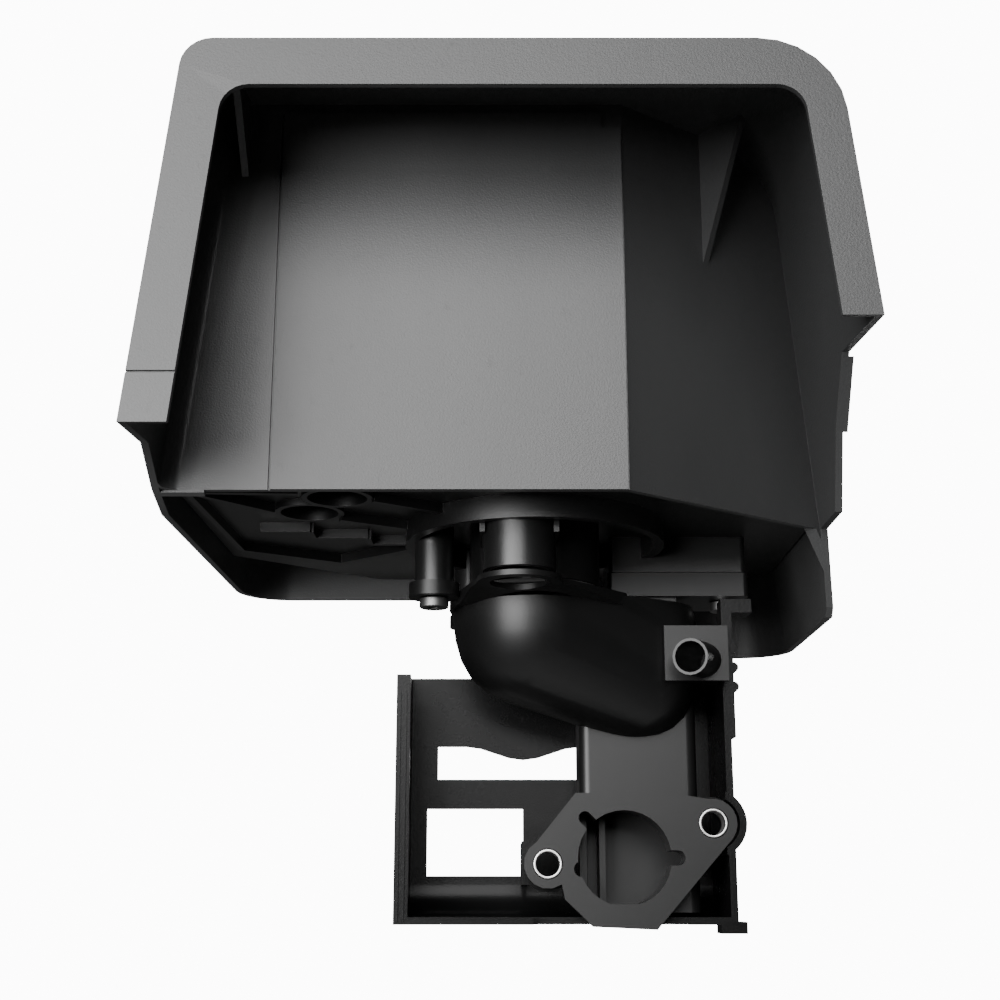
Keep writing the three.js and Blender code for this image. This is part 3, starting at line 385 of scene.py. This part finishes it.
nitrile = rubber("nitrile_rubber", 0.018)
gasket = turned_over("elbow_gasket", "elbow_gasket_ring", GASKET_BORE, nitrile, GASKET_ROUND)
settle(gasket, "housing_body", "rubber", "elbow_gasket")

# --- Elbow ---
# The elbow carries the clean air down to the carburettor. It is the same black plastic as the tray,
# but from a smoother mould, so its grain is finer and its highlights are clearer.
elbow_black = moulded_plastic("elbow_black", shade=0.003, roughness=0.38, gloss=0.33, grain=0.00001)
elbow = rounded_shell("elbow", "elbow_shell", elbow_black, MOULD_ROUND, smooth=28)
settle(elbow, "housing_body", "black_plastic", "elbow")

# --- Elbow screws ---
# Three socket screws hold the elbow up to the tray. They are blackened steel, and their edges are
# rubbed bright where a key has turned them.
SCREW_ROUND = 0.0005


def metal(name, shade, roughness, worn, wear_from=0.52):
    finish = Finish(name)
    where = finish.place()
    cloud = finish.noise(where, 90, 5.0, 0.6)
    scratch = finish.noise(finish.place((1, 1, 9)), 700, 2.0, 0.7)
    wear = finish.edges(wear_from, wear_from + 0.1)
    colour = finish.mix(cloud, grey(shade * 0.85), grey(shade * 1.1, 0.02))
    bright = finish.mix(wear * 0.6, colour, grey(worn))
    rough = (roughness - 0.06) + cloud * 0.14 + scratch * 0.08
    return finish.set(
        Base_Color=bright,
        Metallic=1.0,
        Roughness=rough,
        Normal=finish.bump(scratch, 0.00002),
    )


black_steel = metal("blackened_steel", 0.09, 0.42, 0.4)
for place in ("ear", "right", "rear"):
    screw = rounded_shell(f"elbow_screw_{place}", f"screw_{place}", black_steel, SCREW_ROUND)
    settle(screw, "housing_body", "steel", f"elbow_screw_{place}")

# --- Stud collars ---
# Two zinc-plated steel sleeves line the flange's stud holes, so that the nuts don't crush the plastic.
COLLAR_BORE = 0.0042
COLLAR_ROUND = 0.00022
zinc = metal("zinc_plated_steel", 0.62, 0.3, 0.8)
for side in ("left", "right"):
    node = f"stud_collar_{side}"
    collar = turned_over(node, f"{node}_sleeve", COLLAR_BORE, zinc, COLLAR_ROUND, along="Y")
    settle(collar, "housing_body", "steel", node)

# --- Shroud ---
# The shroud is a thin open trough round the carburettor, with two windows in its back.
# It is moulded in the same black plastic and is held by the two carburettor nuts.
shroud_black = moulded_plastic("shroud_black", shade=0.003, roughness=0.28, gloss=0.12)
shroud = rounded_shell("shroud", "shroud_shell", shroud_black, MOULD_ROUND)
settle(shroud, "housing_body", "black_plastic", "shroud")

# --- Shroud edge ridges ---
# Two thin ridges run down the front of the shroud's left edge and stiffen it. They stop short of its top.
RIDGE_PLACES = (0.0013, 0.0034)
RIDGE_WIDE = 0.0007
RIDGE_DEEP = 0.0012
RIDGE_FOOT = 0.004
RIDGE_TOP = 0.058


def upright_bars(name, corner, places, foot, top, size, material):
    """Upright bars side by side, set along X from a corner, half sunk into the face behind them."""
    wide, deep = size
    shape = bmesh.new()
    for place in places:
        centre = Vector((corner[0] + place, corner[1], (foot + top) / 2))
        matrix = Matrix.LocRotScale(centre, None, Vector((wide, deep, top - foot)))
        bmesh.ops.create_cube(shape, size=1, matrix=matrix)
    mesh = bpy.data.meshes.new(name)
    shape.to_mesh(mesh)
    shape.free()
    mesh.materials.append(material)
    return add_object(name, mesh)


shroud_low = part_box("shroud")[0]
ridges = upright_bars(
    "shroud_edge_ridges",
    shroud_low,
    RIDGE_PLACES,
    shroud_low[2] + RIDGE_FOOT,
    RIDGE_TOP,
    (RIDGE_WIDE, RIDGE_DEEP),
    shroud_black,
)
settle(ridges, "housing_body", "black_plastic")

# --- Through stud ---
# A long zinc-plated stud stands up through the element and the cover. Its shank is plain, and threads
# are rolled at its foot, at its middle for the inner wing nut, and at its top.
THREAD_PITCH = 0.001
THREAD_DEPTH = 0.00035
THREAD_STEPS = 20
STUD_CHAMFER = 0.0008
STUD_SIDES = 48
FOOT_THREAD = 0.022
MIDDLE_THREAD = (-0.006, 0.022)
TOP_THREAD = 0.034
ON_AXIS = 0.000001


class Pattern(Tree):
    """Geometry nodes for a shape that repeats or follows a path, with named sizes."""

    def __init__(self, name):
        self.tree = bpy.data.node_groups.new(name, "GeometryNodeTree")
        self.tree.interface.new_socket("Geometry", in_out="OUTPUT", socket_type="NodeSocketGeometry")
        self.start = self.tree.nodes.new("NodeGroupInput")
        self.sizes = {}

    def size(self, name, value, kind="NodeSocketFloat"):
        socket = self.tree.interface.new_socket(name, in_out="INPUT", socket_type=kind)
        self.sizes[socket.identifier] = value
        return Sock(self, self.start.outputs[name])

    def make(self, name, shape, material):
        """The finished shape as a plain mesh."""
        whole = self.add("GeometryNodeRealizeInstances", {}, [shape])
        coated = self.add("GeometryNodeSetMaterial", {}, {"Geometry": whole, "Material": material})
        end = self.tree.nodes.new("NodeGroupOutput")
        self.put(end.inputs[0], coated)
        piece = add_object(name, bpy.data.meshes.new(name))
        modifier = piece.modifiers.new("pattern", "NODES")
        modifier.node_group = self.tree
        for key, value in self.sizes.items():
            modifier[key] = value
        apply_modifiers(piece)
        return piece


def thread(name, place, low, high, radius, material):
    """A rolled thread's ridge, wound round the Z axis at a place in plan."""
    pattern = Pattern(name)
    length = pattern.size("Length", high - low)
    ridge_radius = pattern.size("Radius", radius - THREAD_DEPTH)
    pitch = pattern.size("Pitch", THREAD_PITCH)
    path = pattern.add(
        "GeometryNodeCurveSpiral",
        {},
        {
            "Resolution": THREAD_STEPS,
            "Rotations": length / pitch,
            "Start Radius": ridge_radius,
            "End Radius": ridge_radius,
            "Height": length,
        },
    )
    section = pattern.add("GeometryNodeCurvePrimitiveCircle", {}, {"Resolution": 4, "Radius": THREAD_DEPTH})
    ridge = pattern.add(
        "GeometryNodeCurveToMesh",
        {},
        {"Curve": path, "Profile Curve": section, "Fill Caps": True},
    )
    moved = pattern.add("GeometryNodeTransform", {}, {"Geometry": ridge, "Translation": (*place, low)})
    piece = pattern.make(name, moved, material)
    smooth_shading(piece, 50)
    return piece


stud_low, stud_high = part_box("through_stud")
AXIS = ((stud_low[0] + stud_high[0]) / 2, (stud_low[1] + stud_high[1]) / 2)
STUD_RADIUS = (stud_high[0] - stud_low[0]) / 2
core_radius = STUD_RADIUS - 1.4 * THREAD_DEPTH
base_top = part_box("elbow_gasket")[1][2]
element_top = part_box("element_upper_cap")[1][2]
threaded = [
    (stud_low[2] + STUD_CHAMFER, base_top + FOOT_THREAD),
    (element_top + MIDDLE_THREAD[0], element_top + MIDDLE_THREAD[1]),
    (stud_high[2] - TOP_THREAD, stud_high[2] - STUD_CHAMFER),
]
stud_profile = [(ON_AXIS, stud_low[2]), (core_radius - STUD_CHAMFER, stud_low[2])]
for low, high in threaded:
    stud_profile += [(core_radius, low), (core_radius, high)]
    if high < stud_high[2] - 2 * STUD_CHAMFER:
        stud_profile += [(STUD_RADIUS, high + STUD_CHAMFER)]
        following = threaded[threaded.index((low, high)) + 1][0]
        stud_profile += [(STUD_RADIUS, following - STUD_CHAMFER)]
stud_profile += [(core_radius - STUD_CHAMFER, stud_high[2]), (ON_AXIS, stud_high[2])]
stud = turned_piece("stud_shank", (*AXIS, 0), stud_profile, zinc, sides=STUD_SIDES)
settle(stud, "housing_body", "steel", "through_stud")
for place, (low, high) in zip(("foot", "middle", "top"), threaded):
    settle(thread(f"stud_thread_{place}", AXIS, low, high, STUD_RADIUS, zinc), "housing_body", "steel")

# --- Stud lock nut ---
# A hexagon nut under the tray's bridge holds the stud. It is zinc plated like the stud, and its
# corners are slightly rounded.
LOCK_NUT_ROUND = 0.0004
lock_nut = rounded_shell("stud_lock_nut", "lock_nut", zinc, LOCK_NUT_ROUND)
settle(lock_nut, "housing_body", "steel", "stud_lock_nut")

# --- Element: seat seal and end caps ---
# The element's ends are cast in soft red-brown plastisol, with a raised rim and short radial ribs.
# A rubber ring under the lower cap seals it on the tray.
CAP_BORE = 0.027
CAP_ROUND = 0.0012
CAP_SIDES = 128
SEAT_ROUND = 0.0005
DISH_OUTER = 0.005
DISH_INNER = 0.03
DISH_DEEP = 0.0012
DISH_SLOPE = 0.001
CAP_RIBS = 36
RIB_RADIUS = 0.0405
RIB_SIZE = (0.009, 0.0012, 0.0008)


def plastisol(name):
    finish = Finish(name)
    where = finish.place()
    cloud = finish.noise(where, 70, 5.0, 0.6)
    bubbles = finish.noise(where, 500, 2.0, 0.6).step(0.66, 0.74)
    colour = finish.mix(cloud, (0.30, 0.055, 0.026, 1), (0.42, 0.085, 0.042, 1))
    spotted = finish.mix(bubbles * 0.4, colour, (0.16, 0.03, 0.016, 1))
    rough = 0.42 + cloud * 0.2
    normal = finish.bump(cloud * 0.6 - bubbles, 0.00012)
    return finish.set(Base_Color=spotted, Roughness=rough, Normal=normal)


cap_red = plastisol("cap_plastisol")
settle(
    turned_over("element_seat_seal", "seat_seal_ring", CAP_BORE, nitrile, SEAT_ROUND),
    "element_body",
    "rubber",
    "element_seat_seal",
)
lower_cap = turned_over("element_lower_cap", "lower_cap_ring", CAP_BORE, cap_red, CAP_ROUND)
settle(lower_cap, "element_body", "element_cap", "element_lower_cap")
cap_low, cap_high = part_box("element_upper_cap")
cap_outer = (cap_high[0] - cap_low[0]) / 2
cap_bore = STUD_RADIUS + 0.0003
cap_profile = [
    (cap_bore, cap_low[2]),
    (cap_outer - CAP_ROUND, cap_low[2]),
    (cap_outer, cap_low[2] + CAP_ROUND),
    (cap_outer, cap_high[2] - CAP_ROUND),
    (cap_outer - CAP_ROUND * 0.4, cap_high[2] - CAP_ROUND * 0.3),
    (cap_outer - CAP_ROUND, cap_high[2]),
    (cap_outer - DISH_OUTER, cap_high[2]),
    (cap_outer - DISH_OUTER - DISH_SLOPE, cap_high[2] - DISH_DEEP),
    (DISH_INNER, cap_high[2] - DISH_DEEP),
    (DISH_INNER - DISH_SLOPE, cap_high[2]),
    (cap_bore + 0.0006, cap_high[2]),
    (cap_bore, cap_high[2] - 0.0006),
]
upper_cap = turned_piece("upper_cap_disc", (*AXIS, 0), cap_profile, cap_red, sides=CAP_SIDES)
settle(upper_cap, "element_body", "element_cap", "element_upper_cap")


def radial_ribs(name, level, radius, count, size, material):
    """Short bars set round the axis like the hours on a clock."""
    pattern = Pattern(name)
    number = pattern.size("Count", count, "NodeSocketInt")
    reach = pattern.size("Radius", radius)
    circle = pattern.add("GeometryNodeMeshCircle", {}, {"Vertices": number, "Radius": reach})
    bar = pattern.add("GeometryNodeMeshCube", {}, {"Size": size})
    outwards = pattern.add("GeometryNodeInputPosition")
    turn = pattern.add("FunctionNodeAlignRotationToVector", {"axis": "X"}, {"Vector": outwards})
    set_out = pattern.add(
        "GeometryNodeInstanceOnPoints",
        {},
        {"Points": circle, "Instance": bar, "Rotation": turn},
    )
    moved = pattern.add("GeometryNodeTransform", {}, {"Geometry": set_out, "Translation": (*AXIS, level)})
    return pattern.make(name, moved, material)


rib_level = cap_high[2] - RIB_SIZE[2]
cap_ribs = radial_ribs("upper_cap_ribs", rib_level, RIB_RADIUS, CAP_RIBS, RIB_SIZE, cap_red)
settle(cap_ribs, "element_body", "element_cap")

# --- Element: pleated paper ---
# Resin-treated filter paper is folded into deep pleats all the way round. Its ends are cast into both
# end caps, which hold the pleats apart.
PLEATS = 76
PAPER_THICK = 0.0005
PAPER_INNER = 0.0335
FOLD_RADIUS = 0.0006


def filter_paper(name):
    finish = Finish(name)
    where = finish.place()
    fibres = finish.noise(finish.place((1, 1, 0.25)), 900, 4.0, 0.7)
    stain = finish.noise(where, 35, 4.0, 0.6)
    colour = finish.mix(fibres, (0.56, 0.43, 0.23, 1), (0.72, 0.60, 0.38, 1))
    dusty = finish.mix(stain.step(0.5, 0.8) * 0.4, colour, (0.30, 0.25, 0.19, 1))
    return finish.set(Base_Color=dusty, Roughness=0.92, Normal=finish.bump(fibres, 0.0001))


paper_low, paper_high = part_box("element_paper")
paper_outer = (paper_high[0] - paper_low[0]) / 2
pleats = Pattern("pleats")
folds = pleats.size("Pleats", PLEATS, "NodeSocketInt")
inner = pleats.size("Inner", PAPER_INNER)
outer = pleats.size("Outer", paper_outer - PAPER_THICK)
fold_round = pleats.size("Fold radius", FOLD_RADIUS)
star = pleats.add(
    "GeometryNodeCurveStar",
    {},
    {"Points": folds, "Inner Radius": inner, "Outer Radius": outer},
)
soft_star = pleats.add(
    "GeometryNodeFilletCurve",
    {"mode": "POLY"},
    {"Curve": star, "Count": 2, "Radius": fold_round, "Limit Radius": True},
)
upright = pleats.add(
    "GeometryNodeCurvePrimitiveLine",
    {},
    {"Start": (*AXIS, paper_low[2]), "End": (*AXIS, paper_high[2])},
)
folded = pleats.add("GeometryNodeCurveToMesh", {}, {"Curve": upright, "Profile Curve": soft_star})
paper = pleats.make("pleated_paper", folded, filter_paper("filter_paper"))
sheet_wall = paper.modifiers.new("sheet", "SOLIDIFY")
sheet_wall.thickness = PAPER_THICK
sheet_wall.offset = 0
apply_modifiers(paper)
smooth_shading(paper, 35)
settle(paper, "element_body", "filter_paper", "element_paper")

# --- Element: perforated core ---
# A tube rolled from perforated steel sheet keeps the paper from being sucked in. Its holes stand in
# even rows, and it is zinc plated.
CORE_HOLE = 0.0026
CORE_COLUMNS = 24
CORE_ROWS = 10
CORE_SHEET = 0.0006
HOLE_SIDES = 12
CELL_MERGE = 0.0001

core_low, core_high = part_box("element_core")
core_outer = (core_high[0] - core_low[0]) / 2
cell_wide = 2 * math.pi * core_outer / CORE_COLUMNS
cell_high = (core_high[2] - core_low[2]) / CORE_ROWS


def perforated_cell(name):
    """A flat rectangle with a round hole, in X and Y."""
    shape = bmesh.new()
    hole, rim = [], []
    for i in range(HOLE_SIDES):
        angle = math.pi / 4 + 2 * math.pi * i / HOLE_SIDES
        x, y = math.cos(angle), math.sin(angle)
        stretch = 1 / max(abs(x), abs(y))
        hole.append(shape.verts.new((CORE_HOLE * x, CORE_HOLE * y, 0)))
        rim.append(shape.verts.new((x * stretch * cell_wide / 2, y * stretch * cell_high / 2, 0)))
    for i in range(HOLE_SIDES):
        j = (i + 1) % HOLE_SIDES
        shape.faces.new((hole[i], rim[i], rim[j], hole[j]))
    mesh = bpy.data.meshes.new(name)
    shape.to_mesh(mesh)
    shape.free()
    return add_object(name, mesh)


cell = perforated_cell("core_cell")
rolled = Pattern("rolled_core")
core_radius_in = rolled.size("Radius", core_outer - CORE_SHEET)
grid = rolled.add(
    "GeometryNodeMeshGrid",
    {},
    {
        "Size X": cell_wide * (CORE_COLUMNS - 1),
        "Size Y": cell_high * (CORE_ROWS - 1),
        "Vertices X": CORE_COLUMNS,
        "Vertices Y": CORE_ROWS,
    },
)
one_cell = rolled.add("GeometryNodeObjectInfo", {}, {"Object": cell}, output="Geometry")
cells = rolled.add("GeometryNodeInstanceOnPoints", {}, {"Points": grid, "Instance": one_cell})
flat = rolled.add("GeometryNodeRealizeInstances", {}, [cells])
joined = rolled.add("GeometryNodeMergeByDistance", {}, {"Geometry": flat, "Distance": CELL_MERGE})
here = rolled.add("GeometryNodeInputPosition")
across = rolled.add("ShaderNodeSeparateXYZ", {}, [here], output="X")
upwards = rolled.add("ShaderNodeSeparateXYZ", {}, [here], output="Y")
turn = across * (2 * math.pi / (cell_wide * CORE_COLUMNS))
round_x = turn.maths("COSINE", turn) * core_radius_in + AXIS[0]
round_y = turn.maths("SINE", turn) * core_radius_in + AXIS[1]
level = upwards + (core_low[2] + core_high[2]) / 2
wrapped_at = rolled.add("ShaderNodeCombineXYZ", {}, [round_x, round_y, level])
wrapped = rolled.add("GeometryNodeSetPosition", {}, {"Geometry": joined, "Position": wrapped_at})
closed = rolled.add("GeometryNodeMergeByDistance", {}, {"Geometry": wrapped, "Distance": CELL_MERGE})
core = rolled.make("perforated_core", closed, zinc)
bpy.data.objects.remove(cell)
core_wall = core.modifiers.new("sheet", "SOLIDIFY")
core_wall.thickness = CORE_SHEET
core_wall.offset = 0
apply_modifiers(core)
smooth_shading(core, 35)
settle(core, "element_body", "steel", "element_core")

# --- Foam sleeve ---
# The pre-cleaner is a sleeve of open-cell foam, oiled and stretched over the element. It is cut from
# sheet and glued in one upright seam, and it bulges a little between its ends.
FOAM_PRESSURE = 1.5
FOAM_FRAMES = 20
FOAM_REACH = 0.0016
FOAM_SIDES = 120
FOAM_ROWS = 22
FOAM_THICK = 0.0046
FOAM_SMALLER = 0.0006
FOAM_ROUND = 0.0014


def open_cell_foam(name):
    finish = Finish(name)
    where = finish.place()
    cells = finish.add(
        "ShaderNodeTexVoronoi",
        {"feature": "DISTANCE_TO_EDGE"},
        {"Vector": where, "Scale": 620},
    )
    struts = 1.0 - cells.step(0.02, 0.22)
    oil = finish.noise(where, 30, 4.0, 0.6)
    # The pores between the struts are painted darker than the struts: painted shade in the foam's open
    # holes. The same strut mask also raises the struts in the bump.
    colour = finish.mix(struts, grey(0.012), grey(0.07, -0.03))
    oiled = finish.mix(oil.step(0.5, 0.75) * 0.35, colour, (0.035, 0.03, 0.022, 1))
    return finish.set(
        Base_Color=oiled,
        Roughness=0.85 - oil * 0.2,
        Normal=finish.bump(struts, 0.0005),
    )


def upright_wall_profile(inner, outer, low, high, radius, rows):
    """A tall ring's section, with the two long sides cut into rows."""
    section = ring_profile(inner, outer, low, high, radius)
    levels = [low + radius + (high - low - 2 * radius) * i / rows for i in range(1, rows)]
    half = len(section) // 2
    outside = [(outer, z) for z in levels]
    inside = [(inner, z) for z in reversed(levels)]
    return section[:half] + outside + section[half:] + inside


def swell(piece, pressure, frames, reach):
    """Blow a closed soft piece up a little, moving no point further than the reach."""
    rest = [vertex.co.copy() for vertex in piece.data.vertices]
    cloth = piece.modifiers.new("cloth", "CLOTH")
    cloth.settings.use_pressure = True
    cloth.settings.uniform_pressure_force = pressure
    cloth.settings.effector_weights.gravity = 0
    cloth.settings.quality = 5
    cloth.point_cache.frame_start = 1
    cloth.point_cache.frame_end = frames
    scene = bpy.context.scene
    for number in range(1, frames + 1):
        scene.frame_set(number)
    graph = bpy.context.evaluated_depsgraph_get()
    swollen = piece.evaluated_get(graph).data
    ends = [vertex.co.copy() for vertex in swollen.vertices]
    piece.modifiers.clear()
    for vertex, start, end in zip(piece.data.vertices, rest, ends):
        move = end - start
        if move.length > reach:
            move = move.normalized() * reach
        vertex.co = start + move
    scene.frame_set(1)


foam_low, foam_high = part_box("foam_sleeve")
foam_outer = (foam_high[0] - foam_low[0]) / 2
foam_inner = foam_outer - FOAM_THICK
section = upright_wall_profile(
    foam_inner + FOAM_SMALLER / 2,
    foam_outer - FOAM_SMALLER,
    foam_low[2] + FOAM_SMALLER,
    foam_high[2] - FOAM_SMALLER,
    FOAM_ROUND,
    FOAM_ROWS,
)
foam = turned_piece(
    "foam_precleaner",
    (*AXIS, 0),
    section,
    open_cell_foam("open_cell_foam"),
    sides=FOAM_SIDES,
)
swell(foam, FOAM_PRESSURE, FOAM_FRAMES, FOAM_REACH)
smoother = foam.modifiers.new("smooth", "SUBSURF")
smoother.levels = 1
smoother.render_levels = 1
apply_modifiers(foam)
smooth_shading(foam, 60)
settle(foam, "element_body", "foam", "foam_sleeve")

# --- Clamping washers and wing nuts ---
# The same plated washer and wing nut clamp the element on its cap and the cover on its grommet.
# The wing nuts are cast, so all their edges are soft.
WASHER_BORE = 0.0034
WASHER_ROUND = 0.0002
WING_ROUND = 0.0007
cast_zinc = metal("cast_zinc_nut", 0.55, 0.38, 0.75)
for owner, washer_body, nut_body in (
    ("element", "element_washer_body", "element_nut_body"),
    ("cover", "cover_washer_body", "cover_nut_body"),
):
    washer = turned_over(f"{owner}_washer", f"{owner}_washer_ring", WASHER_BORE, zinc, WASHER_ROUND)
    settle(washer, washer_body, "steel", f"{owner}_washer")
    wing_nut = rounded_shell(f"{owner}_wing_nut", f"{owner}_wings", cast_zinc, WING_ROUND, segments=3)
    settle(wing_nut, nut_body, "steel", f"{owner}_wing_nut")

# --- Cover seal ---
# A strip of closed-cell rubber lies in the joint between the tray and the cover. It is softer and
# greyer than the nitrile rings.
SEAL_ROUND = 0.0007
seal_rubber = rubber("seal_rubber", 0.025, 0.85)
cover_seal = rounded_shell("cover_seal", "cover_seal_strip", seal_rubber, SEAL_ROUND)
settle(cover_seal, "housing_body", "rubber", "cover_seal")

# --- Cover ---
# The lift-off cover is one large moulding: a box over the filter with a deep hood in front.
# A flat lip runs round the hood's mouth, and two thin stiffeners tie its roof to the back wall.
COVER_ROUND = 0.0006
COVER_GRAIN = 0.00007
COVER_FLOW = (1, 1, 0.3)
cover_black = moulded_plastic("cover_black", 0.022, 0.45, grain=COVER_GRAIN, stretch=COVER_FLOW)
cover = rounded_shell("cover", "cover_shell", cover_black, COVER_ROUND)
settle(cover, "cover_body", "black_plastic", "cover")

# --- Cover grommet ---
# A rubber ring with two flanges snaps into the hole in the cover's top. The washer presses on it, so
# that dust can't get in along the stud.
GROMMET_ROUND = 0.0004
grommet = rounded_shell("cover_grommet", "grommet_ring", nitrile, GROMMET_ROUND)
settle(grommet, "cover_body", "rubber", "cover_grommet")

low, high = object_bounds()
